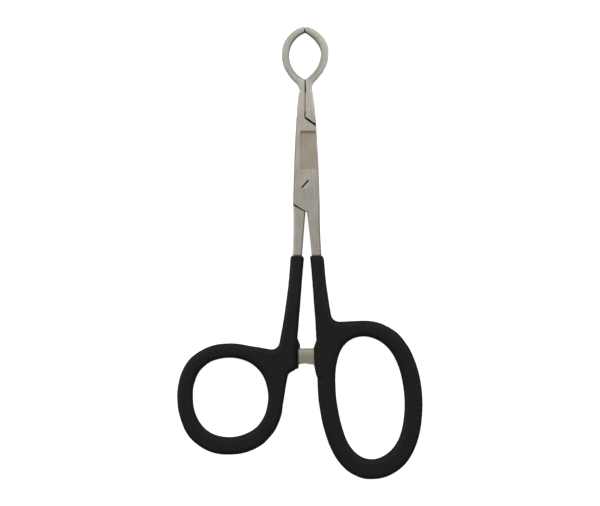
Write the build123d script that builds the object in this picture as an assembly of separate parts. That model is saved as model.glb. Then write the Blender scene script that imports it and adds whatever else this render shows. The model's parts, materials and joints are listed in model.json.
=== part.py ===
from build123d import *
import os
from math import asin, cos, radians, sin, tan

# Ratchet locking ring forceps: two box-lock halves in satin steel, a slotted pivot screw
# and two finger loops dipped in black vinyl.  Sizes in millimetres.
#
# The tool is drawn closed and lying flat, about its pivot: +Y runs to the jaw tips,
# +X to the long finger loop, +Z out of the front face.  At the end all of it is moved,
# so that the origin is the middle of its underside.

# ---- thicknesses, front to back -------------------------------------------------------
box_thickness = 4.0        # over both cheeks of the box lock
jaw_thickness = 2.6        # at the tips
handle_thickness = 3.6     # shanks and loops, bare steel
tongue_thickness = 1.4     # thinned middle of the tongue half
tongue_play = 0.05         # air between the tongue and each cheek
coat = 0.65                # vinyl over the steel

# ---- jaws: two half rings that close into a pointed oval ------------------------------
hole_y = 43.1              # height of the widest place of the hole
hole_half = 5.35
hole_up = 7.6              # from the widest place to the upper point
hole_down = 8.1            # and to the lower point
ring_wall = 2.35           # steel beside the hole
tip_wall = 1.7             # and above its upper point
throat_wall = 3.0          # and below its lower point
ring_rise = 0.8            # the outline is widest this far above the hole's widest place
jaw_bevel = 0.65           # outer edges of the rings and the neck, seen from the front
jaw_bevel_depth = 0.15
hole_round = 0.5           # edges of the hole
jaw_gap = 0.12             # air between the closed jaws
tip_gap = 0.22             # and between their tips
throat_top_y = 35.2        # the seam is eased in the neck, most at the middle height
throat_y = 31.0
throat_bottom_y = 30.2
throat_gap = 0.3

# ---- neck and box ---------------------------------------------------------------------
neck_top_y = 34.0
neck_left = 1.4            # from the parting line, at the top of the neck
neck_right = 1.8
neck_blend = 3.0           # hollow corners between neck and ring
shoulder_y = 22.4          # top of the box
shoulder_left = 2.85
shoulder_right = 3.55
box_bottom_y = -6.6
box_left = 4.0
box_right = 4.93
box_belly = 0.18           # how far each side bows out
seam_slope = 35.5          # of the upper shoulder, degrees down to the right
seam_gap = 0.45            # open groove along the upper shoulder
low_seam_gap = 0.4         # groove along the lower shoulder, at the side of the box
low_seam_end_gap = 0.12    # and at the crotch
left_bevel = 0.35
right_bevel = 0.8
bevel_depth = 0.5
jaw_taper = 12.0           # from the shoulder up to where the neck is thinnest
shank_taper = 9.0          # from the crotch down to where the shanks are thinnest
taper_start = 2.0          # both tapers begin this far from the box
taper_round = 30.0         # radius that softens them

# ---- lock inside the box --------------------------------------------------------------
opening = 45.0             # how far the handles swing apart, in degrees
stop_slack = 1.0           # a little more than that before steel meets steel
hub_radius = 3.2           # round middle of the tongue
hub_air = 0.15

# ---- pivot screw ----------------------------------------------------------------------
screw_radius = 1.2
screw_air = 0.04           # running clearance in the tongue
head_radius = 1.7
head_air = 0.02
head_depth = 0.8
slot_width = 0.45
slot_depth = 0.45
slot_angle = 48.0

# ---- shallow panel on the front cheek -------------------------------------------------
panel_left = 1.64
panel_bottom_y = 5.1
panel_top_y = 17.8
panel_depth = 0.2
panel_round = 0.6

# ---- crotch and shanks ----------------------------------------------------------------
crotch_x = 0.4
crotch_y = -9.36
crotch_gap = 0.55
shank_bow = 1.6            # how far the outer edges bow towards each other
finger_inner_bow = 0.45
shank_bevel = 0.5
foot_y = -57.0             # where the shanks run into the loops
thumb_foot_in = 3.55       # from the pivot sideways, inner and outer edge
thumb_foot_out = 8.8
finger_foot_in = 4.65
finger_foot_out = 10.85
thumb_saddle_y = -56.85    # top line of the web that joins shank and loop
finger_saddle_y = -46.75
heel_x = 6.35              # hollow corner below the thumb side's ratchet root
heel_y = -62.7
heel_top_y = -61.7
heel_shift = 0.7           # share of the coat by which the vinyl's heel drops

# ---- loops, bare steel ----------------------------------------------------------------
thumb_web = 8.65           # from the inner edge of the foot to the hole
thumb_top_y = -53.95       # highest point of the rim
thumb_tilt = 1.7           # top leans to the left
thumb_fullness = 0.061     # how much squarer than an ellipse
thumb_hole_half = 13.25
thumb_hole_up = 13.72
thumb_hole_down = 14.15
thumb_hole_bow = 0.45      # the sides bow this far to the right
thumb_wall_left = 3.9
thumb_wall_right = 3.85
thumb_wall_up = 3.55
thumb_wall_down = 4.55
finger_web = 4.07
finger_top_y = -46.3
finger_tilt = 6.4
finger_fullness = 0.078
finger_hole_half = 12.0
finger_hole_up = 19.93
finger_hole_down = 22.62
finger_hole_bow = 1.06
finger_wall_left = 4.75
finger_wall_right = 4.65
finger_wall_up = 4.0
finger_wall_down = 5.35
core_bevel = 0.9           # edges of the steel under the vinyl
saddle_round = 3.35        # hollow corner between shank and loop
heel_round = 3.15          # hollow corner under the ratchet root
heel_top_round = 1.25

# ---- ratchet --------------------------------------------------------------------------
arm_top_y = -55.2
arm_tip_width = 4.35
arm_taper = 8.0            # the lower edge falls towards the root, degrees
rear_arm_extra = 0.12      # the rear arm's upper edge is this much higher
front_arm_tip = -2.6
rear_arm_tip = 3.3
tooth_count = 3
tooth_pitch = 1.3
tooth_height = 0.45
tooth_air = 0.06           # from each row of tooth tips to the middle plane
arm_tip_bevel = 0.6
arm_root = 1.5             # how far each arm is carried on inside the handle

# ---- vinyl ----------------------------------------------------------------------------
coat_top_y = -23.9
coat_lip_round = 0.3
coat_round = 1.8
steel_overlap = 1.5        # squared shank carried on this far inside the vinyl
boss_air = 0.1             # from each ratchet boss to the middle plane
boss_root = 3.0            # how deep each boss reaches into its handle
boss_round = 0.6
boss_corner_round = 0.8
thumb_boss_top = (-2.5, -51.6)
thumb_boss_peak = (-1.6, -54.0)
thumb_boss_low = (-2.2, -62.0)
finger_boss_top = (3.8, -52.0)
finger_boss_peak = (2.85, -54.9)
finger_boss_low = (3.05, -61.0)
finger_boss_end = (3.9, -64.6)

outline_points = 24        # along the curve of each loop
reach = 200.0              # longer than anything here, for cutting tools


# ---- plane outlines -------------------------------------------------------------------
def pointed_oval(half, up, down, y):
    """Lens of four arcs: upright where it is widest, pointed on the centre line."""
    arcs = Curve()
    for way in (up, -down):
        radius = (half**2 + way**2) / (2 * half)
        turn = asin(way / radius) / 2
        middle_x = half - radius + radius * cos(turn)
        middle_y = y + radius * sin(turn)
        for side in (1, -1):
            arcs += ThreePointArc((side * half, y), (side * middle_x, middle_y), (0, y + way))
    return make_face(arcs)


class Loop:
    """Bent oval, fuller than an ellipse: the hole or the rim of a finger loop."""

    def __init__(self, x, y, tilt, fullness, half, up, down, bow):
        self.x, self.y, self.tilt, self.fullness = x, y, tilt, fullness
        self.half, self.up, self.down, self.bow = half, up, down, bow

    def rim(self, left, right, up, down):
        """Outline round this hole, with walls of these widths at its four sides."""
        half = self.half + (left + right) / 2
        bow = self.bow + (right - left) / 2
        return Loop(
            self.x, self.y, self.tilt, self.fullness, half, self.up + up, self.down + down, bow
        )

    def grown(self, by):
        """The same outline moved outwards."""
        return self.rim(by, by, by, by)

    def point(self, turn):
        """Point of the outline that many degrees round from its right-hand side."""
        across, along = cos(radians(turn)), sin(radians(turn))
        rise = self.up if along > 0 else self.down
        side_x = self.half * across * (1 + self.fullness * along**2) + self.bow * across**2
        side_y = rise * along * (1 + self.fullness * across**2)
        return Vector(self.x, self.y) + Vector(side_x, side_y).rotate(Axis.Z, self.tilt)

    def touch(self, corner, hand):
        """Degrees round to where a line from the corner just touches; 1 is its left side."""
        inward = Vector(self.x, self.y) - corner

        def swing(turn):
            return hand * inward.get_signed_angle(self.point(turn) - corner, Vector(0, 0, 1))

        return max(range(360), key=swing)

    def face(self):
        turns = range(0, 360, 360 // outline_points)
        return make_face(Spline(*[self.point(turn) for turn in turns], periodic=True))


def polygon(*points):
    return make_face(Polyline(*points, close=True))


def jaw_plan(side):
    """One half ring with its neck, the hole not yet cut; side is -1 for the left jaw."""
    plan = pointed_oval(
        hole_half + ring_wall,
        hole_up + tip_wall - ring_rise,
        hole_down + throat_wall + ring_rise,
        hole_y + ring_rise,
    ) + polygon(
        (-shoulder_left, shoulder_y),
        (-neck_left, neck_top_y),
        (neck_right, neck_top_y),
        (shoulder_right, shoulder_y),
    )
    corners = plan.vertices().filter_by(lambda v: shoulder_y + 1 < v.Y < neck_top_y + 1)
    seam = polygon(
        (side * jaw_gap / 2, 0),
        (side * jaw_gap / 2, throat_bottom_y),
        (side * throat_gap / 2, throat_y),
        (side * jaw_gap / 2, throat_top_y),
        (side * tip_gap / 2, hole_y),
        (side * tip_gap / 2, reach),
        (side * reach, reach),
        (side * reach, 0),
    )
    return fillet(corners, neck_blend) & seam


def box_plan():
    """The box from its sloping shoulder to the crotch, both sides bowed out a little."""
    left = SagittaArc((-shoulder_left, shoulder_y), (-box_left, box_bottom_y), -box_belly)
    right = SagittaArc((box_right, box_bottom_y), (shoulder_right, shoulder_y), -box_belly)
    base = Polyline(left @ 1, (crotch_x, crotch_y), right @ 0)
    return make_face(Curve() + [left, base, right, Line(right @ 1, left @ 0)])


def shank_plan(side, grow=0.0):
    """One shank from the bottom of the box to its foot on the loop, with its two long
    edges moved outwards by grow."""
    out, into = side * grow, -side * grow
    top_out = ((box_right if side > 0 else -box_left) + out, box_bottom_y)
    foot_out = ((finger_foot_out if side > 0 else -thumb_foot_out) + out, foot_y)
    foot_in = ((finger_foot_in if side > 0 else -thumb_foot_in) + into, foot_y)
    inner_x = crotch_x + side * crotch_gap / 2 + into
    crotch = (inner_x, crotch_y)
    outer = SagittaArc(top_out, foot_out, -side * shank_bow)
    inner = SagittaArc(foot_in, crotch, -finger_inner_bow) if side > 0 else Line(foot_in, crotch)
    top = Polyline(crotch, (inner_x, box_bottom_y), top_out)
    return make_face(Curve() + [outer, Line(foot_out, foot_in), inner, top])


thumb_hole = Loop(
    -thumb_foot_in - thumb_web - thumb_hole_half,
    thumb_top_y - thumb_wall_up - thumb_hole_up,
    thumb_tilt,
    thumb_fullness,
    thumb_hole_half,
    thumb_hole_up,
    thumb_hole_down,
    thumb_hole_bow,
)
thumb_rim = thumb_hole.rim(thumb_wall_left, thumb_wall_right, thumb_wall_up, thumb_wall_down)
finger_hole = Loop(
    finger_foot_in + finger_web + finger_hole_half,
    finger_top_y - finger_wall_up - finger_hole_up,
    finger_tilt,
    finger_fullness,
    finger_hole_half,
    finger_hole_up,
    finger_hole_down,
    finger_hole_bow,
)
finger_rim = finger_hole.rim(
    finger_wall_left, finger_wall_right, finger_wall_up, finger_wall_down
)


def rim_and_web(rim, corners, hand):
    """Rim and web in one outline.  Lines from the first and the last corner just touch
    the rim, which is followed clockwise between them where hand is 1."""
    first = rim.touch(corners[0], hand)
    last = rim.touch(corners[-1], -hand)
    sweep = -hand * (hand * (first - last) % 360)
    curve = [rim.point(first + sweep * n / outline_points) for n in range(outline_points + 1)]
    ends = (curve[0] - corners[0], corners[-1] - curve[-1])
    base = Polyline(curve[-1], *reversed(corners), curve[0])
    rim_curve = Spline(*curve, tangents=ends, tangent_scalars=(1, 1))
    return make_face(Curve() + [rim_curve, base])


def round_corner(plan, near, radius):
    return fillet(plan.vertices().sort_by_distance(near)[0], radius)


def handle_plan(side, grow=0.0):
    """Shank, loop and the web that joins them, seen from the front, with every edge
    moved outwards by grow."""
    if side > 0:
        rim, hole = finger_rim, finger_hole
        foot_in, foot_out, saddle_y = finger_foot_in, finger_foot_out, finger_saddle_y
    else:
        rim, hole = thumb_rim, thumb_hole
        foot_in, foot_out, saddle_y = -thumb_foot_in, -thumb_foot_out, thumb_saddle_y
    foot_in -= side * grow
    foot_out += side * grow
    saddle = Vector((foot_in + foot_out) / 2, saddle_y + grow)
    corners = [saddle, Vector(foot_in, foot_y)]
    rounds = [(Vector(foot_out, saddle.Y), saddle_round - grow)]
    if side < 0:
        heel_top = Vector(foot_in, heel_top_y - grow * heel_shift)
        heel = Vector(-heel_x + grow, heel_y - grow * heel_shift)
        corners += [heel_top, heel]
        rounds += [(heel, heel_round - grow), (heel_top, heel_top_round + grow)]
    plan = shank_plan(side, grow) + rim_and_web(rim.grown(grow), corners, side)
    for corner, radius in rounds:
        plan = round_corner(plan, corner, radius)
    return plan - hole.grown(-grow).face()


# ---- solids ---------------------------------------------------------------------------
def side_prism():
    """Thickness of the whole tool, drawn from the side and run across its width."""
    stations = [
        (reach, jaw_thickness),
        (shoulder_y + jaw_taper, jaw_thickness),
        (shoulder_y + taper_start, box_thickness),
        (crotch_y - taper_start, box_thickness),
        (crotch_y - shank_taper, handle_thickness),
        (-reach, handle_thickness),
    ]
    front = [(y, thick / 2) for y, thick in stations]
    rear = [(y, -thick / 2) for y, thick in reversed(stations)]
    profile = polygon(*front, *rear)
    bends = profile.vertices().filter_by(lambda v: abs(v.X) < reach - 1)
    return extrude(Plane.YZ * fillet(bends, taper_round), reach, both=True)


def slab(plan, thick):
    return extrude(plan, thick / 2, both=True)


def tapered(plan, prism):
    return extrude(plan, box_thickness, both=True) & prism


def band(high_y, low_y):
    """Plan of everything between two heights."""
    return Pos(0, (high_y + low_y) / 2) * Rectangle(2 * reach, high_y - low_y)


def above_seam():
    """Plan of the right jaw's share of the box, over the sloping upper shoulder."""
    return Pos(0, shoulder_y) * Rot(0, 0, -seam_slope) * Pos(reach / 2, reach / 2) * Rectangle(
        reach, reach
    )


def seam_grooves():
    """Open grooves along both shoulders, in plan."""
    upper = Pos(0, shoulder_y) * Rot(0, 0, -seam_slope) * Pos(reach / 2, 0) * Rectangle(
        reach, seam_gap
    )
    run = Vector(-box_left - crotch_x, box_bottom_y - crotch_y)
    across = run.rotate(Axis.Z, 90).normalized()
    crotch = Vector(crotch_x, crotch_y)
    near = across * low_seam_end_gap / 2
    far = across * (low_seam_gap - low_seam_end_gap / 2)
    lower = polygon(crotch + near, crotch + run * 2 + far, crotch + run * 2 - far, crotch - near)
    return upper + lower


def rim_edges(body):
    """Edges that run round the front and rear faces, but not across their upper end."""
    def is_rim(edge):
        across = edge.bounding_box().size.Y < 1e-4
        return abs(edge.center().Z) > handle_thickness / 4 and not across
    return body.edges().filter_by(is_rim)


def jaw(side, prism):
    """Half ring and neck, bevelled outside and rounded round the hole."""
    body = tapered(jaw_plan(side), prism)
    ring_side = side * (hole_half + ring_wall)
    for face_z in (-jaw_thickness / 2, jaw_thickness / 2):
        edge = body.edges().sort_by_distance(Vector(ring_side, hole_y + ring_rise + 1, face_z))[0]
        face = body.faces().filter_by(Plane.XY).sort_by_distance(Vector(0, hole_y, face_z))[0]
        body = chamfer(edge, jaw_bevel, jaw_bevel_depth, reference=face)
    body = body - slab(pointed_oval(hole_half, hole_up, hole_down, hole_y), box_thickness)

    def round_hole(edge):
        c = edge.center()
        inside = abs(c.X) < hole_half and abs(c.Y - hole_y) < hole_up
        return inside and abs(abs(c.Z) - jaw_thickness / 2) < 0.01 and not edge.is_interior

    return fillet(body.edges().filter_by(round_hole), hole_round)


def box_block():
    """Both cheeks in one piece, their long edges bevelled."""
    body = slab(box_plan(), box_thickness)
    for side, width in ((-1, left_bevel), (1, right_bevel)):
        for face_z in (-box_thickness / 2, box_thickness / 2):
            face = body.faces().sort_by_distance(Vector(0, 0, face_z))[0]
            middle_y = (shoulder_y + box_bottom_y) / 2
            edge = face.edges().sort_by_distance(Vector(side * box_left, middle_y, face_z))[0]
            body = chamfer(edge, width, bevel_depth, reference=face)
    return body


def shank(side, prism):
    """The bare squared part of one shank; the left one stops at the lower shoulder."""
    plan = shank_plan(side) & band(0, coat_top_y - steel_overlap)
    if side < 0:
        plan = plan - box_plan()
    body = tapered(plan, prism)

    def lengthwise(edge):
        spread = edge.bounding_box().size
        return spread.Y > spread.X and abs(edge.center().Z) > handle_thickness / 4

    return chamfer(body.edges().filter_by(lengthwise), shank_bevel)


def handle_core(side):
    """Steel under the vinyl, its edges bevelled."""
    plan = handle_plan(side) & band(coat_top_y - steel_overlap / 2, -reach)
    body = slab(plan, handle_thickness)
    return chamfer(rim_edges(body), core_bevel)


def ratchet_arm(side):
    """Bar with saw teeth on its inner face; 1 is the front arm, from the finger side."""
    tip, top_y = front_arm_tip, arm_top_y
    if side < 0:
        tip, top_y = -rear_arm_tip, arm_top_y + rear_arm_extra
    base, front = tooth_air + tooth_height, handle_thickness / 2
    root = max(thumb_foot_in, finger_foot_in) + arm_root
    saw = [(tip, base)]
    for tooth in range(tooth_count):
        step_x = tip + (tooth + 1) * tooth_pitch
        saw += [(step_x, tooth_air), (step_x, base)]
    outline = [
        (root, base),
        (root, front),
        (tip + arm_tip_bevel, front),
        (tip, front - arm_tip_bevel),
    ]
    bar = extrude(Plane.XZ * polygon(*saw, *outline), reach, both=True)
    low_y = arm_top_y - arm_tip_width
    drop = (root - tip) * tan(radians(arm_taper))
    plan = polygon((tip, top_y), (root, top_y), (root, low_y - drop), (tip, low_y))
    arm = bar & slab(plan, box_thickness)
    return arm if side > 0 else Rot(0, 180, 0) * arm


def stop_web(side):
    """Plan of the solid metal that joins the two cheeks: -1 upper left, 1 lower right."""
    stop_y = reach * tan(radians(opening / 2 + stop_slack))
    if side < 0:
        edge_x = -jaw_gap / 2
        web = polygon((edge_x, 0), (edge_x, reach), (-reach, reach), (-reach, stop_y))
    else:
        edge_x = (crotch_x + crotch_gap / 2) * reach / -crotch_y
        web = polygon((0, 0), (edge_x, -reach), (reach, -reach), (reach, -stop_y))
    return web - Circle(hub_radius + hub_air)


def tongue_plan():
    """Thinned middle of the tongue half: a hub with two wedges."""
    swing_y = reach * tan(radians(opening / 2))
    edge_x = jaw_gap / 2
    upper = polygon((edge_x, 0), (edge_x, reach), (reach, reach), (reach, swing_y))
    low_x = (crotch_x - crotch_gap / 2) * reach / -crotch_y
    lower = polygon((0, 0), (low_x, -reach), (-reach, -reach), (-reach, -swing_y))
    outline = box_plan() + shank_plan(-1) & band(shoulder_y, crotch_y - taper_start)
    return outline & (upper + lower) + Circle(hub_radius)


def screw_solid(head, shank):
    """Flat head, flush with the front of the box, and plain shank to the rear face."""
    front = box_thickness / 2
    return Pos(0, 0, front - head_depth / 2) * Cylinder(head, head_depth) + Cylinder(
        shank, box_thickness
    )


def panel():
    """Shallow panel on the front cheek, open to the right bevel."""
    height = panel_top_y - panel_bottom_y
    width = panel_left + box_right
    plan = RectangleRounded(2 * width, height, panel_round)
    spot = Pos(width - panel_left, (panel_top_y + panel_bottom_y) / 2, box_thickness / 2)
    return spot * extrude(plan, panel_depth, both=True)


def steel_halves():
    prism = side_prism()
    block = box_block()
    grooves = slab(seam_grooves(), 2 * box_thickness)
    right_share = slab(above_seam() & band(shoulder_y + 1, 0), 2 * box_thickness)
    slot = band(shoulder_y + 5, crotch_y - 5) - stop_web(-1) - stop_web(1)

    box_half = jaw(-1, prism) + (block - right_share) + shank(1, prism)
    box_half = box_half - (grooves & slab(band(shoulder_y + 5, 2 * crotch_y), reach))
    box_half = box_half - slab(slot, tongue_thickness + 2 * tongue_play)
    box_half = box_half - screw_solid(head_radius + head_air, screw_radius) - panel()
    box_half = box_half + handle_core(1) + ratchet_arm(1)

    tongue_half = jaw(1, prism) + (block & right_share) + shank(-1, prism)
    tongue_half = tongue_half - (grooves & slab(band(shoulder_y + 5, 2 * crotch_y), reach))
    tongue_half = tongue_half + slab(tongue_plan(), tongue_thickness)
    tongue_half = tongue_half - Cylinder(screw_radius + screw_air, box_thickness)
    tongue_half = tongue_half + handle_core(-1) + ratchet_arm(-1)
    return box_half, tongue_half


def screw():
    body = screw_solid(head_radius, screw_radius)
    slot = Pos(0, 0, box_thickness / 2) * Rot(0, 0, slot_angle) * Box(
        3 * head_radius, slot_width, 2 * slot_depth
    )
    return body - slot


def boss(side):
    """Half-height swelling of the vinyl round the root of a ratchet arm."""
    if side > 0:
        rim = [finger_boss_top, finger_boss_peak, finger_boss_low, finger_boss_end]
    else:
        rim = [thumb_boss_top, thumb_boss_peak, thumb_boss_low]
    root_x = rim[0][0] + side * boss_root
    plan = polygon(*rim, (root_x, rim[-1][1]), (root_x, rim[0][1]))
    shown = plan.vertices().filter_by(lambda v: abs(v.X - root_x) > 0.1)
    height = handle_thickness / 2 + coat - boss_air
    body = Pos(0, 0, boss_air) * extrude(fillet(shown, boss_corner_round), height)
    face = body.faces().sort_by(Axis.Z)[-1]
    shown = face.edges().filter_by(lambda e: abs(e.center().X - root_x) > 0.1)
    body = fillet(shown, boss_round)
    return body if side > 0 else mirror(body, Plane.XY)


def grip(side, steel):
    """Vinyl dipped over one handle."""
    plan = handle_plan(side, coat) & band(coat_top_y + coat_round, -reach)
    body = slab(plan, handle_thickness + 2 * coat)
    body = fillet(rim_edges(body), coat_round)
    body = body & slab(band(coat_top_y, -reach), reach)
    lip = body.edges().filter_by(lambda e: abs(e.center().Y - coat_top_y) < 1e-3)
    body = fillet(lip, coat_lip_round)
    return body + boss(side) - steel


# ---- all pieces, moved so that the origin is the middle of the underside ---------------
box_half, tongue_half = steel_halves()
pieces = {
    "box_half": box_half,
    "tongue_half": tongue_half,
    "pivot_screw": screw(),
    "finger_grip": grip(1, box_half),
    "thumb_grip": grip(-1, tongue_half),
}
whole = Compound(children=[Part() + piece for piece in pieces.values()]).bounding_box()
home = Pos(-whole.center().X, -whole.center().Y, -whole.min.Z)
os.makedirs("parts", exist_ok=True)
for name, piece in pieces.items():
    export_step(home * piece, f"parts/{name}.step")
print("pivot at", home.position)
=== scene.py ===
import json
from math import atan2, radians, tan

import bpy
import bmesh
import numpy as np
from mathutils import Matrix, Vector


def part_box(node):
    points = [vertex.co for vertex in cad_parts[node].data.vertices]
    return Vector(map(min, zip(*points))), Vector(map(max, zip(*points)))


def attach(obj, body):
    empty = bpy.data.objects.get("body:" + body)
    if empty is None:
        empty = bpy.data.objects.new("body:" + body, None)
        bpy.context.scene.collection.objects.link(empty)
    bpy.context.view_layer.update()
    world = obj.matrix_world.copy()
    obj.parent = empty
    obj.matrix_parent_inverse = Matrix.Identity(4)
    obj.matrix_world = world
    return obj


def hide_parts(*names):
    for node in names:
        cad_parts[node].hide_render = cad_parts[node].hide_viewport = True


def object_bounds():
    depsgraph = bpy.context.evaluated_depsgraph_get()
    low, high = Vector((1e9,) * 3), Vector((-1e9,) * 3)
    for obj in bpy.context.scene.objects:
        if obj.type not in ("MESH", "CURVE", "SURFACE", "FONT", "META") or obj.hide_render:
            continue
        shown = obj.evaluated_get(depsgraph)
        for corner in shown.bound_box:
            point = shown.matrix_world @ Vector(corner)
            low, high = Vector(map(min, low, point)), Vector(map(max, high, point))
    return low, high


# Ratchet locking ring forceps lying flat: bead-blasted steel halves, a slotted pivot
# screw and loops dipped in black vinyl.  Everything is in metres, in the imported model's
# own frame; lengths written in millimetres are multiplied by MM.

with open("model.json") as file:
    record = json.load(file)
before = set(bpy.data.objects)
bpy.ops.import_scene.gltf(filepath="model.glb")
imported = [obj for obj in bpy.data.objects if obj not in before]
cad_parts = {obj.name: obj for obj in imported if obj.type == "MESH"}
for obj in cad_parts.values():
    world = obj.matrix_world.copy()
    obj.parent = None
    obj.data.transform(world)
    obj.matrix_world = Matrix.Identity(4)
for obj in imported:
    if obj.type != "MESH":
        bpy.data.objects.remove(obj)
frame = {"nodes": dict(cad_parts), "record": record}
cad_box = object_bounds()

MM = 0.001
PIVOT = Vector(frame["record"]["behaviour"]["joints"][0]["pos_m"])
COAT_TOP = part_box("finger_grip")[1][1]           # where the vinyl ends on the shanks
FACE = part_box("box_half")[1][2]                  # front face of the steel

# Heights above the pivot and other sizes of the steel, in mm.
SHOULDER_Y = 22.4          # where the upper shoulder's groove meets the parting line
SHOULDER_SLOPE = 35.5      # of that groove, degrees down to the right
PANEL_BOTTOM = 5.1         # shallow panel on the front cheek
PANEL_TOP = 17.8
PANEL_DEPTH = 0.2
RATCHET_TOP = -55.2        # upper edge of the ratchet arms
RING_Y = 43.1              # widest place of the jaws' hole
HALF_JAW = 1.3             # half the jaws' thickness
RING_BEVEL = 0.65          # outer bevel of the ring, seen from the front
RING_BEVEL_DEPTH = 0.15
HOLE_ROUND = 0.5           # rounded edges of the hole

# Pointed ovals of the ring, in mm: half width, rise above and fall below the widest
# place, and its height above the pivot; then the height from which the oval is seen.
RING_OUTLINE = (7.7, 8.5, 11.9, 43.9)
RING_OUTLINE_FOOT = 37.2
HOLE_OUTLINE = (5.35, 7.6, 8.1, RING_Y)
HOLE_OUTLINE_FOOT = 35.0


def linear(hex_colour):
    """sRGB hex text to a linear RGBA tuple."""
    parts = [int(hex_colour[i : i + 2], 16) / 255 for i in (1, 3, 5)]
    return tuple(((c + 0.055) / 1.055) ** 2.4 if c > 0.04045 else c / 12.92 for c in parts) + (1.0,)


def add(tree, kind, links=(), **settings):
    """A node with its settings, then its links as (input, node, output).  A setting named
    in_N goes to input number N, any other to the property or the input of that name."""
    node = tree.nodes.new(kind)
    for name, value in settings.items():
        if name in node.bl_rna.properties:
            setattr(node, name, value)
        elif name.startswith("in_"):
            node.inputs[int(name[3:])].default_value = value
        else:
            node.inputs[name.replace("_", " ")].default_value = value
    for slot_in, source, slot_out in links:
        tree.links.new(source.outputs[slot_out], node.inputs[slot_in])
    return node


def new_material(name):
    """A material, its node tree and its shader."""
    material = bpy.data.materials.new(name)
    material.use_nodes = True
    return material, material.node_tree, material.node_tree.nodes["Principled BSDF"]


def within(tree, split, axis, middle, half, soft):
    """1 where a coordinate is within half of the middle, falling to 0 over soft."""
    away = add(tree, "ShaderNodeMath", [(0, split, axis)], operation="SUBTRACT", in_1=middle)
    size = add(tree, "ShaderNodeMath", [(0, away, 0)], operation="ABSOLUTE")
    return add(
        tree, "ShaderNodeMapRange", [("Value", size, 0)], From_Min=half + soft, From_Max=half
    )


# ---- oil, dust and painted shade ------------------------------------------------------
# Oil and painted shade on the seams: start and end in mm from the pivot, half width in mm.
SEAM_OIL_AND_SHADE = (
    ((-0.1, 22.25), (3.6, 19.65), 0.36),     # upper shoulder
    ((-0.02, 22.2), (-0.02, 24.2), 0.22),    # foot of the jaws' parting line
    ((-0.02, 24.2), (-0.02, 30.6), 0.14),    # and on up the neck
    ((-4.1, -6.8), (0.12, -9.2), 0.22),      # lower shoulder
    ((0.08, -9.3), (-0.15, -11.0), 0.12),    # and round the crotch
    ((0.06, 30.7), (0.06, 33.2), 0.26),      # throat
    ((0.0, 33.2), (0.0, 34.9), 0.2),
    ((-0.1, 50.4), (-0.1, 52.9), 0.2),       # tips
)
# painted shade in the screw's slot, and a darker spot at its end
SLOT_OIL_AND_SHADE = (
    ((-1.3, -1.4), (1.15, 1.3), 0.27),       # screw slot
    ((0.82, 0.95), (1.0, 1.15), 0.36),       # burr at its end
)
DARK_LINE_CORE = 0.08          # mm, a dark line is full this far inside its half width
DARK_LINE_FADE = 0.14          # mm, over which it fades sideways
DARK_LINE_END_FADE = 0.1       # and lengthwise


def clear_of_dark_line(tree, place, start, end, half):
    """0 on a line seen from the front, rising to 1 beyond half its width and its ends.  The
    coordinates are turned so that X runs along the line from its middle, in mm."""
    run = Vector(end) - Vector(start)
    middle = (Vector(end) + Vector(start)) / 2
    along = add(
        tree, "ShaderNodeMapping", [("Vector", place, "Object")], vector_type="TEXTURE",
        Location=(PIVOT.x + middle.x * MM, PIVOT.y + middle.y * MM, 0.0),
        Rotation=(0.0, 0.0, atan2(run.y, run.x)), Scale=(MM, MM, 1.0),
    )
    split = add(tree, "ShaderNodeSeparateXYZ", [("Vector", along, 0)])
    across = within(tree, split, "Y", 0.0, half - DARK_LINE_CORE, DARK_LINE_FADE)
    length = within(tree, split, "X", 0.0, run.length / 2, DARK_LINE_END_FADE)
    both = add(tree, "ShaderNodeMath", [(0, across, 0), (1, length, 0)], operation="MULTIPLY")
    return add(tree, "ShaderNodeMath", [(1, both, 0)], operation="SUBTRACT", in_0=1.0)


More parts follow.
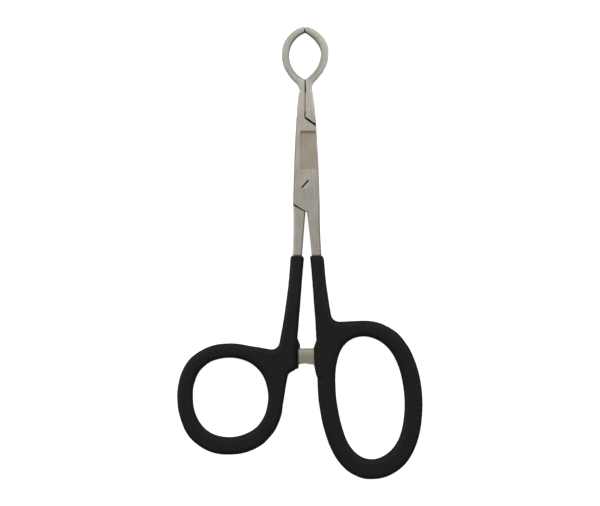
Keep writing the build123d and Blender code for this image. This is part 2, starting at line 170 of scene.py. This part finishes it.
def soiled_and_shaded(tree, place, colour, shader, oil_and_shade_lines, both_sides=True, wiped=None, clear_of_rim_shadow=None):
    """Links a colour to the shader, darkened by oil and dust and by painted shade.  How
    clear a point is starts as the openness of corners within 0.7 mm, which paints shade
    into them, times 0 on each dark line of oil and painted shade.  It is 1 on faces that
    look sideways, which rub each other bright, on the back where both_sides is false, and
    where wiped is 1.  Last it is multiplied by the mask of the painted shadow along the
    vinyl's rim."""
    # painted shade: corners are darkened by how closed they are within 0.7 mm
    corners = add(tree, "ShaderNodeAmbientOcclusion", samples=12, Distance=0.7 * MM)
    clear_of_dirt_and_shade = add(
        tree, "ShaderNodeMapRange", [("Value", corners, "AO")],
        interpolation_type="SMOOTHSTEP", From_Min=0.25, From_Max=0.85,
    )
    # dark lines of oil and painted shade along the seams
    for dark_line in oil_and_shade_lines:
        clear = clear_of_dark_line(tree, place, *dark_line)
        clear_of_dirt_and_shade = add(
            tree, "ShaderNodeMath", [(0, clear_of_dirt_and_shade, 0), (1, clear, 0)], operation="MULTIPLY"
        )
    normal = add(tree, "ShaderNodeSeparateXYZ", [("Vector", place, "Normal")])
    facing = add(
        tree, "ShaderNodeMath", [(0, normal, "Z")],
        operation="ABSOLUTE" if both_sides else "ADD", in_1=0.0,
    )
    rubbed = add(
        tree, "ShaderNodeMapRange", [("Value", facing, 0)], From_Min=0.6, From_Max=0.25
    )
    clear_of_dirt_and_shade = add(tree, "ShaderNodeMath", [(0, clear_of_dirt_and_shade, 0), (1, rubbed, 0)], operation="MAXIMUM")
    if wiped:
        clear_of_dirt_and_shade = add(
            tree, "ShaderNodeMath", [(0, clear_of_dirt_and_shade, 0), (1, wiped, 0)], operation="MAXIMUM"
        )
    if clear_of_rim_shadow:
        clear_of_dirt_and_shade = add(
            tree, "ShaderNodeMath", [(0, clear_of_dirt_and_shade, 0), (1, clear_of_rim_shadow, 0)], operation="MULTIPLY"
        )
    # 2B2823 is the colour of the oil and dust, and of the painted shade
    finished = add(
        tree, "ShaderNodeMix", [(0, clear_of_dirt_and_shade, 0), (7, colour, 2)], data_type="RGBA",
        in_6=linear("#2B2823"),
    )
    tree.links.new(finished.outputs[2], shader.inputs["Base Color"])


# ---- steel ----------------------------------------------------------------------------
def blasted_tone(tree, place, split, strokes):
    """The steel's grey: patches of 5 mm between two tones, times the streaks of the
    grinding strokes.  Towards the jaws it is painted up to an eighth brighter: painted
    light.  The ring took no colour from the oven, and is cooler."""
    cloud = add(
        tree, "ShaderNodeTexNoise", [("Vector", place, "Object")], Scale=1 / (5 * MM), Detail=3.0
    )
    patchy = add(tree, "ShaderNodeMapRange", [("Value", cloud, 0)], From_Min=0.35, From_Max=0.65)
    base = add(
        tree, "ShaderNodeMix", [(0, patchy, 0)], data_type="RGBA",
        in_6=linear("#C9C3B5"), in_7=linear("#D2CDC3"),
    )
    streak = add(tree, "ShaderNodeMapRange", [("Value", strokes, 0)], From_Min=0.3, From_Max=0.7)
    streaked = add(
        tree, "ShaderNodeMix", [(0, streak, 0)], data_type="RGBA",
        in_6=linear("#E6E6E6"), in_7=linear("#FFFFFF"),
    )
    toned = add(
        tree, "ShaderNodeMix", [(6, base, 2), (7, streaked, 2)],
        data_type="RGBA", blend_type="MULTIPLY", in_0=1.0,
    )
    # painted light: up to an eighth brighter towards the jaws
    painted_light_to_jaws = add(
        tree, "ShaderNodeMapRange", [("Value", split, "Y")], interpolation_type="SMOOTHSTEP",
        From_Min=PIVOT.y - 3 * MM, From_Max=PIVOT.y + 8 * MM, To_Min=1.0, To_Max=1.12,
    )
    brighter = add(
        tree, "ShaderNodeVectorMath", [(0, toned, 2), ("Scale", painted_light_to_jaws, 0)], operation="SCALE"
    )
    ring = add(
        tree, "ShaderNodeMapRange", [("Value", split, "Y")], interpolation_type="SMOOTHSTEP",
        From_Min=PIVOT.y + 29 * MM, From_Max=PIVOT.y + 37 * MM,
    )
    return add(
        tree, "ShaderNodeMix", [(0, ring, 0), (6, brighter, 0)],
        data_type="RGBA", blend_type="MULTIPLY", in_7=(0.99, 1.04, 1.05, 1.0),
    )


def in_panel(tree, split):
    """1 on the floor of the shallow panel, 0 elsewhere."""
    middle = PIVOT.y + (PANEL_BOTTOM + PANEL_TOP) / 2 * MM
    half = (PANEL_TOP - PANEL_BOTTOM) / 2 * MM
    edge = 0.05 * MM
    deep = within(tree, split, "Z", FACE - PANEL_DEPTH * MM, edge, 0.03 * MM)
    high = within(tree, split, "Y", middle, half + edge, edge)
    return add(tree, "ShaderNodeMath", [(0, deep, 0), (1, high, 0)], operation="MULTIPLY")


def panelled_tone(tree, split, tone, panel):
    """The tone, a little duller in the panel, with a painted shadow under its upper edge."""
    dulled = add(
        tree, "ShaderNodeMix", [(0, panel, 0), (6, tone, 2)],
        data_type="RGBA", blend_type="MULTIPLY", in_7=linear("#F2EFE8"),
    )
    # painted shadow: a darker band just under the panel's upper edge
    below_edge = PIVOT.y + (PANEL_TOP - 0.4) * MM
    edge = within(tree, split, "Y", below_edge, 0.25 * MM, 0.55 * MM)
    shadow_under_edge = add(tree, "ShaderNodeMath", [(0, panel, 0), (1, edge, 0)], operation="MULTIPLY")
    return add(
        tree, "ShaderNodeMix", [(0, shadow_under_edge, 0), (6, dulled, 2)],
        data_type="RGBA", blend_type="MULTIPLY", in_7=linear("#C8C4B9"),
    )


def hole_shade(tree, place):
    """1 up to 0.92 of an ellipse round the jaws' hole, falling to 0 at 1.02 of it: painted
    shade on the ring's inner side."""
    middle = add(
        tree, "ShaderNodeMapping", [("Vector", place, "Object")], vector_type="TEXTURE",
        Location=(PIVOT.x, PIVOT.y + RING_Y * MM, 0.0), Scale=(6.1 * MM, 8.4 * MM, 1000.0),
    )
    out = add(tree, "ShaderNodeVectorMath", [(0, middle, 0)], operation="LENGTH")
    return add(
        tree, "ShaderNodeMapRange", [("Value", out, "Value")],
        interpolation_type="SMOOTHSTEP", From_Min=1.02, From_Max=0.92,
    )


def arm_tone(tree, split):
    """The ratchet arms' brown tinge from the oven that gelled the vinyl, with a painted
    highlight along the upper edge."""
    # painted highlight: lighter towards the arms' upper edge
    upper = add(
        tree, "ShaderNodeMapRange", [("Value", split, "Y")], interpolation_type="SMOOTHSTEP",
        From_Min=PIVOT.y + (RATCHET_TOP - 2.6) * MM, From_Max=PIVOT.y + (RATCHET_TOP - 0.2) * MM,
    )
    return add(
        tree, "ShaderNodeMix", [(0, upper, 0)], data_type="RGBA",
        in_6=linear("#ABA593"), in_7=linear("#CFC8B2"),
    )


def blasted_steel():
    """Forged stainless steel, belt-ground lengthwise and then bead-blasted: a soft,
    slightly warm grey, with faint strokes under a fine grain.  Oil and dust, and painted
    shade, darken the grooves and corners, and the shallow panel on the front cheek was
    blasted again, coarser."""
    material, tree, shader = new_material("bead_blasted_stainless_steel")
    place = add(tree, "ShaderNodeTexCoord")
    split = add(tree, "ShaderNodeSeparateXYZ", [("Vector", place, "Object")])
    # grinding strokes: 0.3 mm wide bundles, 8 mm long, as single 0.03 mm scratches are too
    # fine to show
    along = add(
        tree, "ShaderNodeMapping", [("Vector", place, "Object")],
        Scale=(1 / (0.3 * MM), 1 / (8 * MM), 1 / (0.3 * MM)),
    )
    strokes = add(tree, "ShaderNodeTexNoise", [("Vector", along, "Vector")], Scale=1.0, Detail=3.0)
    # bead craters of 0.05 mm, drawn 0.35 mm wide so that they show
    grain = add(
        tree, "ShaderNodeTexNoise", [("Vector", place, "Object")], Scale=1 / (0.35 * MM), Detail=3.0
    )

    panel = in_panel(tree, split)
    toned = blasted_tone(tree, place, split, strokes)
    panelled = panelled_tone(tree, split, toned, panel)
    # painted shade: the ring's inner side is darkened towards #BCB7AA
    inner = hole_shade(tree, place)
    shaded = add(
        tree, "ShaderNodeMix", [(0, inner, 0), (6, panelled, 2)], data_type="RGBA",
        in_7=linear("#BCB7AA"),
    )
    # the only bare steel below the vinyl's upper rim is the ratchet arms
    arms = add(
        tree, "ShaderNodeMapRange", [("Value", split, "Y")],
        From_Min=COAT_TOP - 2 * MM, From_Max=COAT_TOP - 8 * MM,
    )
    brown = arm_tone(tree, split)
    browned = add(
        tree, "ShaderNodeMix", [(0, arms, 0), (6, shaded, 2), (7, brown, 2)], data_type="RGBA"
    )
    # painted shadow of the vinyl's upper rim on the steel, darkening it to 0.35
    rim = within(tree, split, "Y", COAT_TOP, 0.15 * MM, 0.35 * MM)
    clear_of_rim_shadow = add(tree, "ShaderNodeMapRange", [("Value", rim, 0)], To_Min=1.0, To_Max=0.35)
    soiled_and_shaded(tree, place, browned, shader, SEAM_OIL_AND_SHADE, wiped=arms, clear_of_rim_shadow=clear_of_rim_shadow)

    shader.inputs["Metallic"].default_value = 1.0
    rough = add(
        tree, "ShaderNodeMapRange", [("Value", strokes, 0)], From_Min=0.3, From_Max=0.7,
        To_Min=0.40, To_Max=0.50,
    )
    coarser = add(
        tree, "ShaderNodeMath", [(0, panel, 0), (2, rough, 0)], operation="MULTIPLY_ADD", in_1=0.12
    )
    tree.links.new(coarser.outputs[0], shader.inputs["Roughness"])
    furrows = add(tree, "ShaderNodeBump", [("Height", strokes, 0)], Strength=0.2, Distance=0.02 * MM)
    craters = add(
        tree, "ShaderNodeBump", [("Height", grain, 0), ("Normal", furrows, 0)],
        Strength=0.3, Distance=0.03 * MM,
    )
    tree.links.new(craters.outputs[0], shader.inputs["Normal"])
    return material


def turned_screw():
    """Stainless screw, turned on a lathe and dressed flush with the box: the box's soft
    grey, with faint rings round its middle in place of lengthwise strokes."""
    material, tree, shader = new_material("turned_stainless_screw")
    place = add(tree, "ShaderNodeTexCoord")
    # rings of 0.25 mm, as the tool marks of 0.05 mm are too fine to show
    middle = add(
        tree, "ShaderNodeMapping", [("Vector", place, "Object")], vector_type="TEXTURE",
        Location=(PIVOT.x, PIVOT.y, 0.0), Scale=(MM, MM, 1000.0),
    )
    out = add(tree, "ShaderNodeVectorMath", [(0, middle, 0)], operation="LENGTH")
    marks = add(
        tree, "ShaderNodeTexNoise", [("W", out, "Value")], noise_dimensions="1D",
        Scale=1 / 0.25, Detail=2.0,
    )
    ring = add(tree, "ShaderNodeMapRange", [("Value", marks, 0)], From_Min=0.3, From_Max=0.7)
    tone = add(
        tree, "ShaderNodeMix", [(0, ring, 0)], data_type="RGBA",
        in_6=linear("#C8C2B5"), in_7=linear("#D6D1C7"),
    )
    # oil and dust, with painted shade in the slot and its corners
    soiled_and_shaded(tree, place, tone, shader, SLOT_OIL_AND_SHADE, both_sides=False)
    shader.inputs["Metallic"].default_value = 1.0
    rough = add(
        tree, "ShaderNodeMapRange", [("Value", marks, 0)], From_Min=0.3, From_Max=0.7,
        To_Min=0.36, To_Max=0.46,
    )
    tree.links.new(rough.outputs[0], shader.inputs["Roughness"])
    bump = add(tree, "ShaderNodeBump", [("Height", marks, 0)], Strength=0.3, Distance=0.02 * MM)
    tree.links.new(bump.outputs[0], shader.inputs["Normal"])
    return material


# ---- vinyl ----------------------------------------------------------------------------
def dipped_vinyl():
    """Plastisol dip: soft near-black vinyl, matte, with the slight orange peel of a skin
    that gelled as it ran off.  Near its upper rim it is painted a little lighter: painted
    light on the shanks."""
    material, tree, shader = new_material("dipped_black_vinyl")
    place = add(tree, "ShaderNodeTexCoord")
    split = add(tree, "ShaderNodeSeparateXYZ", [("Vector", place, "Object")])
    peel = add(
        tree, "ShaderNodeTexNoise", [("Vector", place, "Object")], Scale=1 / (1.2 * MM), Detail=3.0
    )
    fine = add(
        tree, "ShaderNodeTexNoise", [("Vector", place, "Object")], Scale=1 / (0.4 * MM), Detail=2.0
    )
    mottle = add(tree, "ShaderNodeMapRange", [("Value", peel, 0)], From_Min=0.3, From_Max=0.7)
    tone = add(
        tree, "ShaderNodeMix", [(0, mottle, 0)], data_type="RGBA",
        in_6=linear("#0B0A0A"), in_7=linear("#171615"),
    )
    # painted light: lighter tones towards the upper rim
    painted_light_tone = add(
        tree, "ShaderNodeMix", [(0, mottle, 0)], data_type="RGBA",
        in_6=linear("#100F0F"), in_7=linear("#1E1C1B"),
    )
    painted_light_near_rim = add(
        tree, "ShaderNodeMapRange", [("Value", split, "Y")], interpolation_type="SMOOTHSTEP",
        From_Min=COAT_TOP - 20 * MM, From_Max=COAT_TOP - 10 * MM,
    )
    shade = add(
        tree, "ShaderNodeMix", [(0, painted_light_near_rim, 0), (6, tone, 2), (7, painted_light_tone, 2)], data_type="RGBA"
    )
    tree.links.new(shade.outputs[2], shader.inputs["Base Color"])
    rough = add(
        tree, "ShaderNodeMapRange", [("Value", fine, 0)], From_Min=0.3, From_Max=0.7,
        To_Min=0.55, To_Max=0.7,
    )
    tree.links.new(rough.outputs[0], shader.inputs["Roughness"])
    shader.inputs["Specular IOR Level"].default_value = 0.3
    dimples = add(tree, "ShaderNodeBump", [("Height", peel, 0)], Strength=0.5, Distance=0.12 * MM)
    pores = add(
        tree, "ShaderNodeBump", [("Height", fine, 0), ("Normal", dimples, 0)],
        Strength=0.4, Distance=0.04 * MM,
    )
    tree.links.new(pores.outputs[0], shader.inputs["Normal"])
    return material


# ---- meshes ---------------------------------------------------------------------------
def shown(name, mesh, material, body):
    """The mesh as a piece of the scene, in one material, riding on a body."""
    piece = bpy.data.objects.new(name, mesh)
    bpy.context.collection.objects.link(piece)
    mesh.materials.clear()
    mesh.materials.append(material)
    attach(piece, body)
    return piece


def merged_copy(node):
    """The node's mesh with its loose triangles joined into one closed skin."""
    mesh = frame["nodes"][node].data.copy()
    skin = bmesh.new()
    skin.from_mesh(mesh)
    bmesh.ops.remove_doubles(skin, verts=skin.verts, dist=0.001 * MM)
    skin.to_mesh(mesh)
    skin.free()
    return mesh


def remeshed(mesh, cell):
    """The mesh as an even net of small squares."""
    holder = bpy.data.objects.new("clay", mesh)
    bpy.context.collection.objects.link(holder)
    net = holder.modifiers.new("net", "REMESH")
    net.mode = "VOXEL"
    net.voxel_size = cell
    graph = bpy.context.evaluated_depsgraph_get()
    even = bpy.data.meshes.new_from_object(holder.evaluated_get(graph))
    bpy.data.objects.remove(holder)
    return even


def read(collection, attribute, width, kind=float):
    """One attribute of a mesh's elements as an array with a row of width for each."""
    values = np.empty(len(collection) * width, dtype=kind)
    collection.foreach_get(attribute, values)
    return values.reshape(-1, width)


def place_points(mesh, points):
    """Moves the mesh's vertices to the points and shades it smooth."""
    mesh.vertices.foreach_set("co", points.ravel())
    mesh.polygons.foreach_set("use_smooth", np.ones(len(mesh.polygons), dtype=bool))
    mesh.update()


def smooth_step(low, high, value):
    """0 up to low, 1 from high, and 3t^2 - 2t^3 between."""
    t = np.clip((value - low) / (high - low), 0, 1)
    return t * t * (3 - 2 * t)


def bell(value, start, full, fade, end):
    """0 up to start, 1 from full to fade, 0 again from end, smooth between."""
    return smooth_step(start, full, value) * (1 - smooth_step(fade, end, value))


# ---- vinyl grips ----------------------------------------------------------------------
VINYL_CELL = 0.3           # mm, squares of the net that the vinyl is shaped on
EASING_ROUNDS = 5
LUMPS = ((0.12, 7.0), (0.03, 2.0))     # height and length of the lumps, in mm
WAVES = 9                  # plane waves in a pattern of lumps


def eased(points, edges, rounds, push=0.5, back=-0.53):
    """Each point goes part of the way to the mean of its neighbours, then a little more
    than that back, so that corners soften and the form keeps its size."""
    count = np.bincount(edges.ravel(), minlength=len(points))[:, None]
    for _ in range(rounds):
        for step in (push, back):
            total = np.empty_like(points)
            for axis in range(3):
                total[:, axis] = np.bincount(
                    edges[:, 0], points[edges[:, 1], axis], len(points)
                ) + np.bincount(edges[:, 1], points[edges[:, 0], axis], len(points))
            points = points + step * (total / count - points)
    return points


def ripples(points, length, seed):
    """Mean of nine plane waves in random directions, with 0.7 to 1.3 waves to the length:
    soft, uneven lumps between -1 and 1."""
    chance = np.random.default_rng(seed)
    directions = chance.normal(size=(WAVES, 3))
    spread = chance.uniform(0.7, 1.3, (WAVES, 1))
    waves = directions * (2 * np.pi / length) * spread
    waves /= np.linalg.norm(directions, axis=1)[:, None]
    return np.sin(points @ waves.T + chance.uniform(0, 2 * np.pi, WAVES)).sum(axis=1) / WAVES


def sagged_rim(points, corner_left, corner_right, bulge):
    """The points with the vinyl's upper rim sagging at its corners, as a dip's does.
    Across the shank, from -1 to 1, the sag is 0 up to 0.55 and then grows as the square of
    the share passed, to corner_left or corner_right at the edges; it fades 2.6 mm down.
    The right side swells by bulge, most 1 mm under the rim."""
    below = COAT_TOP - points[:, 1]
    near_rim = below < 1.5 * MM
    left, right = points[near_rim, 0].min(), points[near_rim, 0].max()
    across = (points[:, 0] - (left + right) / 2) / ((right - left) / 2)
    level = 0.55
    past_left = np.clip((-across - level) / (1 - level), 0, 1.2)
    past_right = np.clip((across - level) / (1 - level), 0, 1.2)
    sag = corner_left * past_left**2 + corner_right * past_right**2
    swell = bulge * bell(below, 0.2 * MM, 1.0 * MM, 1.0 * MM, 8 * MM)
    sagged = points.copy()
    sagged[:, 0] += swell * smooth_step(0.2, 1.0, across)
    sagged[:, 1] -= sag * (1 - smooth_step(0.0, 2.6 * MM, below))
    return sagged


def dipped_grip(name, node, body, material, corner_left, corner_right, bulge, seed):
    """Vinyl skin of one handle: the CAD form as an even net with softened corners, moved
    along its outward direction by long and short lumps, as it is where a dip has run, with
    a sagging upper rim.  Nothing goes through the floor or past the CAD form's top."""
    mesh = remeshed(merged_copy(node), VINYL_CELL * MM)
    edges = read(mesh.edges, "vertices", 2, int)
    points = eased(read(mesh.vertices, "co", 3), edges, EASING_ROUNDS)
    place_points(mesh, points)
    outward = read(mesh.vertex_normals, "vector", 3)
    lumps = sum(
        height * MM * ripples(points, length * MM, seed + number)
        for number, (height, length) in enumerate(LUMPS)
    )
    points = sagged_rim(points + outward * lumps[:, None], corner_left, corner_right, bulge)
    points[:, 2] = np.clip(points[:, 2], 0.0, cad_box[1][2])
    place_points(mesh, points)
    piece = shown(name, mesh, material, body)
    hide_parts(node)
    return piece


# ---- steel halves ---------------------------------------------------------------------
GROOVE_DROP = 0.2          # mm, by which the upper shoulder's groove lies lower
GROOVE_START = -0.2        # mm to the right of the parting line, where it begins
GROOVE_SPAN = (19.0, 23.0)             # heights between which it runs, in mm
GROOVE_SIDE = (0.35, 0.5)  # mm from its middle, where the drop begins and ends to fade
TIP_RISE = 0.25            # mm, by which the tips reach higher
TIP_SPAN = (50.2, 51.9)    # heights over which the rise grows
NECK_CUTS = (23.0, 36.0, 0.5)          # first height, end and step, in mm
RING_FOOT = 34.6           # mm, the ring's cuts are above this height
RING_TURNS = (0.0, 180.0, 3.0)         # degrees
FACET_GAP = 0.07           # mm, a point closer than this to its arc belongs on it


def sliced(skin, geometry, point, normal):
    """Cuts what geometry holds along a plane, and gives back all of it with the new parts."""
    cut = bmesh.ops.bisect_plane(skin, geom=geometry, plane_co=point, plane_no=normal)
    return cut["geom"]


def cut_to_bend(skin):
    """Cuts the neck across and the ring like a cake, so that long facets can bend."""
    for height in np.arange(*NECK_CUTS):
        everything = skin.verts[:] + skin.edges[:] + skin.faces[:]
        sliced(skin, everything, (0.0, PIVOT.y + height * MM, 0.0), (0.0, 1.0, 0.0))
    foot = PIVOT.y + RING_FOOT * MM
    faces = [face for face in skin.faces if min(v.co.y for v in face.verts) > foot]
    chosen = set(faces)
    edges = [edge for edge in skin.edges if not chosen.isdisjoint(edge.link_faces)]
    verts = [vert for vert in skin.verts if not chosen.isdisjoint(vert.link_faces)]
    ring = verts + edges + faces
    middle = (PIVOT.x, PIVOT.y + RING_Y * MM, 0.0)
    for turn in np.radians(np.arange(*RING_TURNS)):
        ring = sliced(skin, ring, middle, (float(np.cos(turn)), float(np.sin(turn)), 0.0))


def past_oval(out, up, half, above, below, middle):
    """Distance outside a pointed oval of four arcs, widest by half at the middle height
    and ending above and below it, with the direction away from its nearest arc."""
    way = np.where(up > middle, above, below)
    radius = (half**2 + way**2) / (2 * half)
    away = np.stack([out - half + radius, up - middle], axis=1)
    reach = np.linalg.norm(away, axis=1)
    return reach - radius, away / reach[:, None]


def rounded_ring(out, up, deep):
    """Moves that bring points on the ring's short straight facets back to its arcs.  deep
    is the distance from the middle plane.  Outside, the wall is upright up to the bevel and
    then leans in with it; inside, a quarter round joins the wall to the face."""
    leaning = np.clip((deep - HALF_JAW + RING_BEVEL_DEPTH) / RING_BEVEL_DEPTH, 0, 1)
    sunk = np.clip(deep - HALF_JAW + HOLE_ROUND, 0, HOLE_ROUND)
    rounding = HOLE_ROUND - np.sqrt(HOLE_ROUND**2 - sunk**2)
    moves = np.zeros((len(out), 2))
    for oval, wanted, foot in (
        (RING_OUTLINE, -RING_BEVEL * leaning, RING_OUTLINE_FOOT),
        (HOLE_OUTLINE, rounding, HOLE_OUTLINE_FOOT),
    ):
        gap, away = past_oval(out, up, *oval)
        missing = wanted - gap
        near = (np.abs(missing) < FACET_GAP) & (up > foot)
        moves += np.where(near, missing, 0.0)[:, None] * away
    return moves


def groove_and_tips(right, up):
    """How far each point moves up: the tips rise, and both walls of the upper shoulder's
    groove drop.  right is the distance to the right of the parting line."""
    from_groove = np.abs(up - SHOULDER_Y + tan(radians(SHOULDER_SLOPE)) * right)
    low, high = GROOVE_SPAN
    on_shoulder = (right > GROOVE_START) & (up > low) & (up < high)
    groove = on_shoulder * (1 - smooth_step(*GROOVE_SIDE, from_groove))
    return TIP_RISE * smooth_step(*TIP_SPAN, up) - GROOVE_DROP * groove


def forged_half(name, node, body, material, side, pushes):
    """One steel half with the unevenness of a hand-ground forging: the CAD form with the
    ring's facets back on their arcs, its tips and groove moved up or down, and every point
    moved sideways by a sum of pushes.  A push is its size in mm away from the parting line,
    the four heights of its bell, and the two distances from that line between which it
    grows from 0 to full.  side is -1 for the left half."""
    skin = bmesh.new()
    skin.from_mesh(merged_copy(node))
    cut_to_bend(skin)
    mesh = bpy.data.meshes.new(name)
    skin.to_mesh(mesh)
    skin.free()

    points = read(mesh.vertices, "co", 3)
    out = side * (points[:, 0] - PIVOT.x) / MM
    up = (points[:, 1] - PIVOT.y) / MM
    arc = rounded_ring(out, up, np.abs(points[:, 2] - PIVOT.z) / MM)
    out, up = out + arc[:, 0], up + arc[:, 1]
    shift = arc[:, 0]
    for size, heights, growth in pushes:
        shift = shift + size * bell(up, *heights) * smooth_step(*growth, out)
    points[:, 0] += side * shift * MM
    points[:, 1] += (arc[:, 1] + groove_and_tips(side * out, up)) * MM
    place_points(mesh, points)
    mesh.set_sharp_from_angle(angle=radians(9))

    piece = shown(name, mesh, material, body)
    planes = piece.modifiers.new("flat faces stay flat", "WEIGHTED_NORMAL")
    planes.mode = "FACE_AREA"
    planes.weight = 100
    planes.keep_sharp = True
    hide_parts(node)
    return piece


# ---- lands on the parting line --------------------------------------------------------
LAND_BITE = 0.01           # mm, by which a land reaches into each jaw


def capped_rings(name, points):
    """Rings of points, one ring after another along a path, as a closed skin with flat
    ends.  points is (rings, points in a ring, 3), each ring anticlockwise about the path."""
    rings, around = points.shape[:2]
    index = np.arange(rings * around).reshape(rings, around)
    following = np.roll(index, -1, axis=1)
    sides = np.stack([index[:-1], following[:-1], following[1:], index[1:]], axis=-1)
    faces = sides.reshape(-1, 4).tolist() + [index[0, ::-1].tolist(), index[-1].tolist()]
    mesh = bpy.data.meshes.new(name)
    mesh.from_pydata(points.reshape(-1, 3), [], faces)
    return mesh


def closed_seam(name, stations, material):
    """Land between the closed jaws: a bar of rectangular section that fills the gap and
    reaches a little into each jaw, carried up the parting line from station to station.  A
    station is its height above the pivot, half the gap, and how far the bar reaches before
    and behind the middle plane, in mm."""
    y, half, deep = np.array(stations).T * MM
    half = half + LAND_BITE * MM
    corners = np.array([(-1, -1), (-1, 1), (1, 1), (1, -1)], dtype=float)
    points = np.empty((len(y), 4, 3))
    points[:, :, 0] = PIVOT.x + half[:, None] * corners[None, :, 0]
    points[:, :, 1] = PIVOT.y + y[:, None]
    points[:, :, 2] = PIVOT.z + deep[:, None] * corners[None, :, 1]
    return shown(name, capped_rings(name, points), material, "box_side")


# ---- floor, light and camera ----------------------------------------------------------
def pale_floor():
    """A light table: white, glowing, and out of sight of the steel's reflections.  It lies
    a hair under the loops, so that no two faces share a plane."""
    half = 3.0
    level = -0.03 * MM
    corners = [(x * half, y * half, level) for x, y in ((-1, -1), (1, -1), (1, 1), (-1, 1))]
    mesh = bpy.data.meshes.new("floor")
    mesh.from_pydata(corners, [], [(0, 1, 2, 3)])
    floor = bpy.data.objects.new("floor", mesh)
    bpy.context.collection.objects.link(floor)
    material, _, shader = new_material("pale_light_table")
    shader.inputs["Base Color"].default_value = linear("#F4F4F4")
    shader.inputs["Roughness"].default_value = 0.9
    shader.inputs["Specular IOR Level"].default_value = 0.1
    shader.inputs["Emission Color"].default_value = (1, 1, 1, 1)
    shader.inputs["Emission Strength"].default_value = 0.85
    mesh.materials.append(material)
    floor.visible_glossy = False


def soft_light(name, spot, size, watts):
    """A square lamp, its sides in metres, aimed at the origin."""
    lamp = bpy.data.lights.new(name, "AREA")
    lamp.shape = "SQUARE"
    lamp.size = size
    lamp.energy = watts
    holder = bpy.data.objects.new(name, lamp)
    holder.location = spot
    holder.rotation_euler = (-Vector(spot)).to_track_quat("-Z", "Y").to_euler()
    bpy.context.collection.objects.link(holder)


def overhead_camera():
    """Straight down on the middle of the tool, top of the picture towards the jaws."""
    lens = bpy.data.cameras.new("camera")
    lens.sensor_width = 36.0
    lens.lens = 100.0
    seen_width = 0.201                       # of the light table, in metres
    middle = PIVOT + Vector((-1.691, -23.029, 0.0)) * MM
    holder = bpy.data.objects.new("camera", lens)
    holder.location = middle + Vector((0, 0, seen_width * lens.lens / lens.sensor_width))
    bpy.context.collection.objects.link(holder)
    bpy.context.scene.camera = holder


# Grey of the dome by height, from straight down at 0 to straight overhead at 1.
DOME_GREYS = (
    (0.0, 0.12),
    (0.45, 0.24),
    (0.6, 0.42),
    (0.8, 0.58),
    (0.92, 0.57),
    (1.0, 0.55),
)


def studio_dome():
    """Soft light all round, dimmer straight overhead than halfway down, and brighter
    beyond the jaws than behind the loops."""
    world = bpy.data.worlds.new("studio")
    world.use_nodes = True
    tree = world.node_tree
    background = tree.nodes["Background"]
    direction = add(tree, "ShaderNodeTexCoord")
    split = add(tree, "ShaderNodeSeparateXYZ", [("Vector", direction, "Generated")])
    height = add(tree, "ShaderNodeMapRange", [("Value", split, "Z")], From_Min=-1.0, From_Max=1.0)
    shades = add(tree, "ShaderNodeValToRGB", [("Fac", height, "Result")])
    stops = shades.color_ramp.elements       # it starts with one at 0 and one at 1
    for place, _ in DOME_GREYS[1:-1]:
        stops.new(place)
    for stop, (_, grey) in zip(stops, DOME_GREYS):
        stop.color = (grey, grey, grey, 1)
    towards_jaws = add(
        tree, "ShaderNodeMapRange", [("Value", split, "Y")], From_Min=-0.3, From_Max=0.3,
        To_Min=0.4, To_Max=1.6,
    )
    lit = add(
        tree, "ShaderNodeVectorMath", [(0, shades, "Color"), ("Scale", towards_jaws, 0)],
        operation="SCALE",
    )
    tree.links.new(lit.outputs[0], background.inputs["Color"])
    background.inputs["Strength"].default_value = 1.0
    bpy.context.scene.world = world


# ---- the tool -------------------------------------------------------------------------
steel = blasted_steel()
screw_steel = turned_screw()
vinyl = dipped_vinyl()
for spot in frame["nodes"]["pivot_screw"].material_slots:
    spot.link = "OBJECT"
    spot.material = screw_steel

forged_half(
    "left_jaw_steel", "box_half", "box_side", steel, -1,
    [
        (0.22, (23.4, 25.5, 29.6, 32.0), (0.8, 1.6)),
        (0.18, (31.4, 32.4, 32.8, 33.8), (0.8, 1.6)),
        (0.16, (36.5, 39.5, 42.0, 44.0), (5.4, 6.6)),
    ],
)
forged_half(
    "right_jaw_steel", "tongue_half", "tongue_side", steel, 1,
    [
        (0.2, (23.4, 25.5, 30.5, 33.2), (0.8, 1.8)),
        (0.12, (31.0, 32.0, 32.6, 33.4), (0.8, 1.8)),
        (-0.42, (32.5, 35.2, 38.8, 41.5), (-0.2, 2.2)),
        (-0.25, (39.5, 41.0, 42.0, 44.0), (4.0, 4.9)),
        (0.3, (35.8, 38.0, 38.5, 41.0), (4.0, 6.2)),
        (0.42, (38.5, 41.0, 41.8, 44.5), (4.6, 6.8)),
        (0.22, (42.6, 45.2, 46.5, 50.0), (4.6, 6.4)),
        (0.2, (46.2, 47.6, 48.0, 49.4), (4.6, 6.4)),
        (-0.25, (46.0, 48.5, 50.0, 52.0), (0.2, 2.0)),
        (0.42, (47.5, 49.0, 50.5, 51.8), (2.4, 5.0)),
    ],
)
dipped_grip(
    "finger_dip", "finger_grip", "box_side", vinyl,
    corner_left=0.12 * MM, corner_right=0.62 * MM, bulge=0.08 * MM, seed=3,
)
dipped_grip(
    "thumb_dip", "thumb_grip", "tongue_side", vinyl,
    corner_left=0.5 * MM, corner_right=0.7 * MM, bulge=0.0, seed=5,
)
closed_seam(
    "neck_seam",
    [
        (22.45, 0.06, 1.7),
        (24.4, 0.06, 1.72),
        (30.2, 0.06, 1.33),
        (30.9, 0.14, 0.7),
        (34.2, 0.08, 0.7),
        (34.95, 0.06, 0.7),
    ],
    steel,
)
closed_seam("tip_seam", [(50.75, 0.11, 0.7), (52.1, 0.11, 0.7)], steel)

studio_dome()
pale_floor()
soft_light("right_window", (0.55, 0.2, 0.9), 0.6, 0.5)
soft_light("left_window", (-1.0, 0.1, 0.25), 0.5, 1.5)
overhead_camera()
bpy.context.scene.view_settings.view_transform = "Standard"
